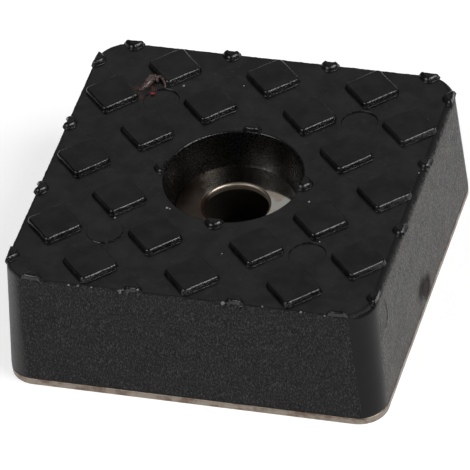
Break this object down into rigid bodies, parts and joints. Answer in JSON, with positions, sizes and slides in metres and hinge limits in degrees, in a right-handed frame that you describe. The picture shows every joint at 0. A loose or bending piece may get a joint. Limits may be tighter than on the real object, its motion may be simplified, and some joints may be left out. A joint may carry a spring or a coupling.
{
  "type": "anti-slip block",
  "caption": "Square rubber grip block with offset rows of diamond studs, a deep well for a screw head and a pressed steel insert that seats the screw and closes the base.",
  "frame": {"origin": "centre of the underside, on the axis of the screw hole", "axes": "+Z along the screw hole, from the steel base up to the studded grip face; +X and +Y square to the side walls"},
  "size_m": [0.0514, 0.0514, 0.0186],
  "materials": {
    "rubber": "satin on the grip face, fine spark-eroded grain on the walls",
    "sheet_steel": "bright rolled sheet with a dull, slightly brown cut edge"
  },
  "bodies": {
    "root": {"rubber_block": "rubber", "steel_insert": "sheet_steel"}
  },
  "joints": []
}
